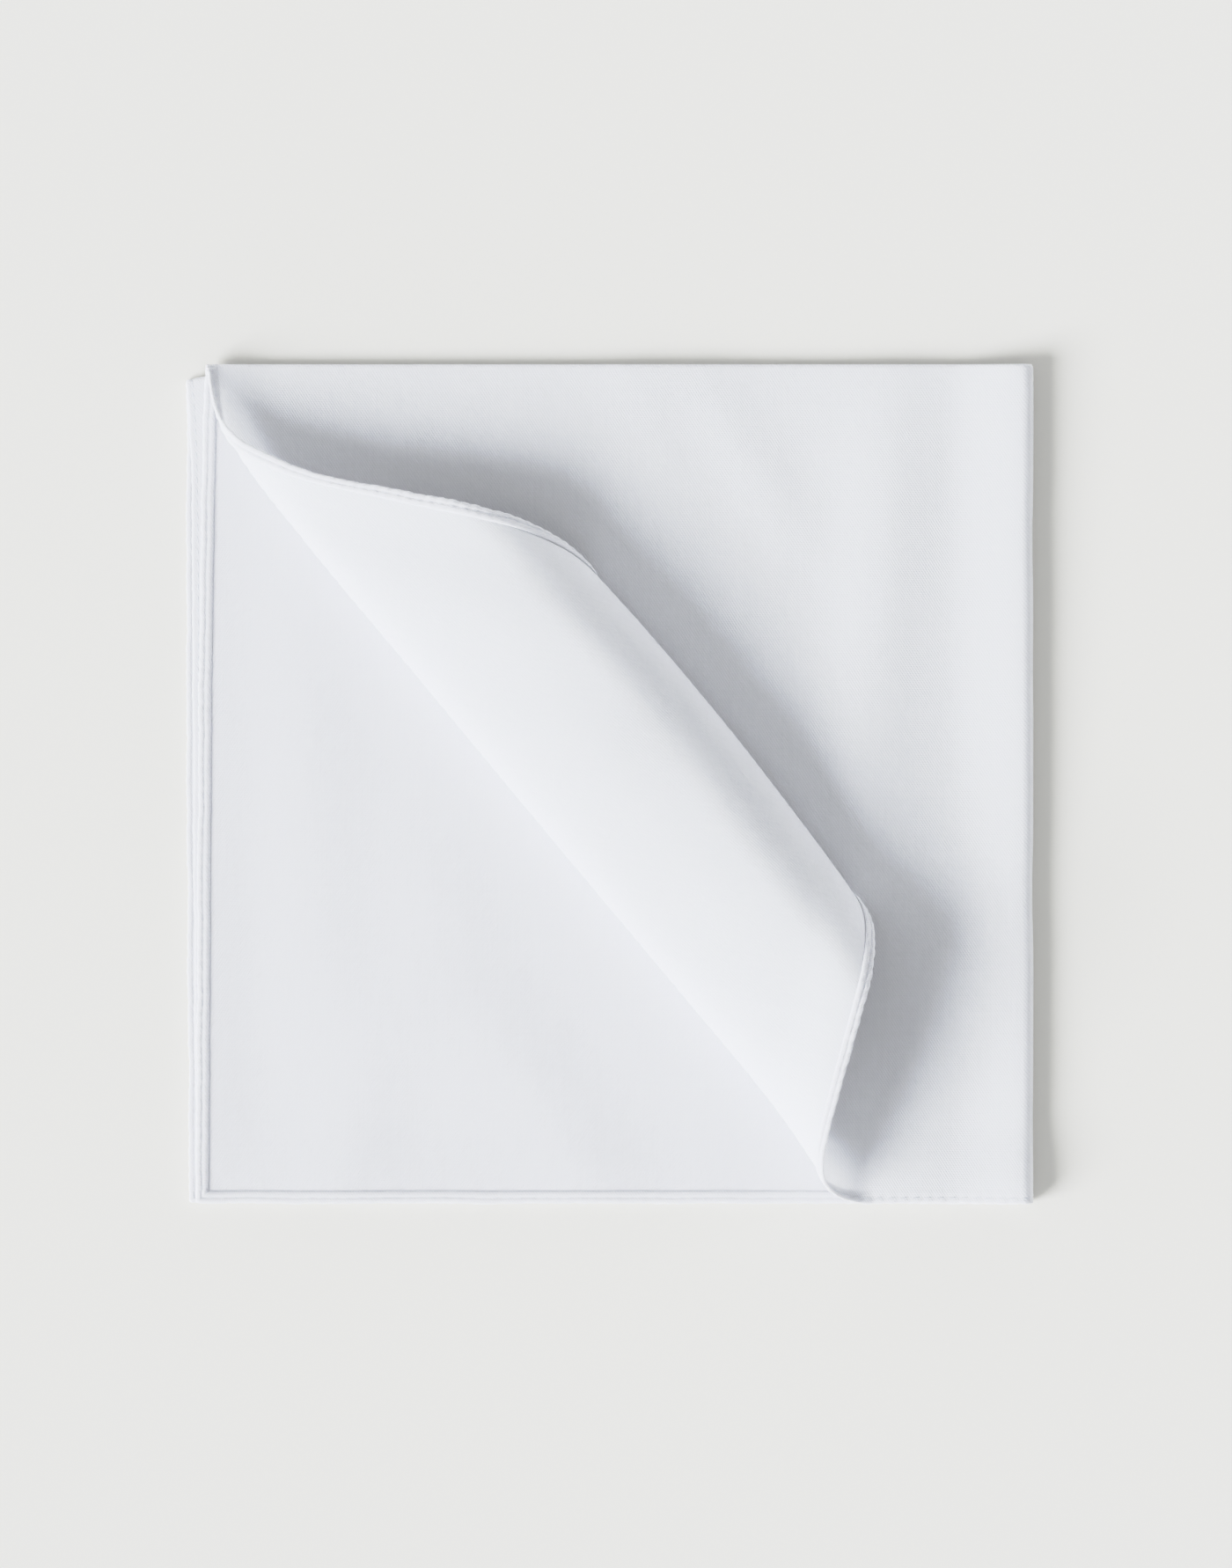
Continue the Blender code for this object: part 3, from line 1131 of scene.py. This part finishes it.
@dataclass
class Studio:
    """A pale floor, soft light from the lower left, and a camera straight above."""

    view_width: float = 0.2426
    view_middle: float = 0.00117
    camera_height: float = 2.6
    floor_size: float = 8.0
    ambient: float = 0.585
    horizon: float = 0.8
    horizon_fall: float = 3.0
    sky_tint: Colour = (1.0, 1.0, 0.995, 1.0)
    key: float = 2.96
    key_angle: float = 32.0
    key_elevation: float = 29.0
    key_heading: float = 28.0
    exposure: float = 0.035
    shoulder: tuple[Pair, ...] = ((0.25, 0.25), (0.46, 0.47), (0.66, 0.71), (0.81, 0.818))
    white: float = 0.93
    red: float = 0.985
    blue: float = 1.04

    def floor(self) -> Piece:
        """Lays the floor."""
        bpy.ops.object.select_all(action="DESELECT")
        bpy.ops.mesh.primitive_plane_add(size=self.floor_size, location=(0, 0, 0))
        floor = bpy.context.object
        floor.name = "floor"
        floor.data.materials.append(FloorFinish().material())
        return floor

    def lights(self) -> None:
        """Adds the even light all round, and the soft key from the lower left."""
        scene = bpy.context.scene
        world = bpy.data.worlds.new("studio")
        world.use_nodes = True
        nodes, links = world.node_tree.nodes, world.node_tree.links
        direction = nodes.new("ShaderNodeTexCoord")
        parts = nodes.new("ShaderNodeSeparateXYZ")
        links.new(direction.outputs["Generated"], parts.inputs[0])
        steps = (
            ("SUBTRACT", 1.0, None),
            ("POWER", None, self.horizon_fall),
            ("MULTIPLY_ADD", None, self.horizon),
        )
        value = parts.outputs[2]
        for kind, first, second in steps:
            node = nodes.new("ShaderNodeMath")
            node.operation = kind
            node.use_clamp = kind == "SUBTRACT"
            if first is None:
                links.new(value, node.inputs[0])
                node.inputs[1].default_value = second
            else:
                node.inputs[0].default_value = first
                links.new(value, node.inputs[1])
            value = node.outputs[0]
        node.inputs[2].default_value = self.ambient
        links.new(value, nodes["Background"].inputs["Strength"])
        nodes["Background"].inputs["Color"].default_value = self.sky_tint
        scene.world = world
        lamp = bpy.data.lights.new("soft_key", "SUN")
        lamp.energy = self.key
        lamp.angle = math.radians(self.key_angle)
        key = bpy.data.objects.new("soft_key", lamp)
        heading, elevation = math.radians(self.key_heading), math.radians(self.key_elevation)
        level = math.cos(elevation)
        travel = Vector((math.cos(heading) * level, math.sin(heading) * level, -math.sin(elevation)))
        key.rotation_euler = travel.to_track_quat("-Z", "Y").to_euler()
        scene.collection.objects.link(key)

    def camera(self) -> None:
        """Sets a long lens straight above, so that there is little perspective."""
        lens = bpy.data.cameras.new("overhead")
        view_height = self.view_width * IMAGE_HEIGHT / IMAGE_WIDTH
        lens.lens = lens.sensor_width * self.camera_height / view_height
        lens.clip_end = 10.0
        camera = bpy.data.objects.new("overhead", lens)
        camera.location = (self.view_middle, 0.0, self.camera_height)
        bpy.context.scene.collection.objects.link(camera)
        bpy.context.scene.camera = camera

    def tone(self) -> None:
        """Rolls off the highlights gently, so that white folds keep their shape."""
        settings = bpy.context.scene.view_settings
        settings.view_transform = "Khronos PBR Neutral"
        settings.look = "None"
        settings.exposure = self.exposure
        settings.use_curve_mapping = True
        mapping = settings.curve_mapping
        red, _, blue, every = mapping.curves
        for place, level in self.shoulder:
            every.points.new(place, level)
        every.points[-1].location = (1.0, self.white)
        red.points[-1].location = (1.0, self.red)
        blue.points[-1].location = (1 / self.blue, 1.0)
        mapping.update()


def main() -> None:
    """Builds the pocket square on the frame, and the studio round it."""
    logging.basicConfig(level=logging.INFO, format="%(message)s")
    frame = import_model()
    low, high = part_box(NODE)
    LOG.info("frame: %s", ", ".join(frame["nodes"]))
    folds = Folds(tuple(c / MM for c in low), tuple(c / MM for c in high))
    hemmed = HemmedCloth(folds)
    cloth = hemmed.build()
    cloth.data.materials.append(TwillFinish().material())
    LOG.info("cloth: %d faces", len(cloth.data.polygons))
    thread = HemStitching(hemmed).build()
    thread.data.materials.append(ThreadFinish().material())
    LOG.info("thread: %d faces", len(thread.data.polygons))
    for piece in (cloth, thread):
        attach(piece, BODY)
    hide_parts(NODE)
    studio = Studio()
    studio.floor()
    studio.lights()
    studio.camera()
    studio.tone()


if __name__ == "__main__":
    main()
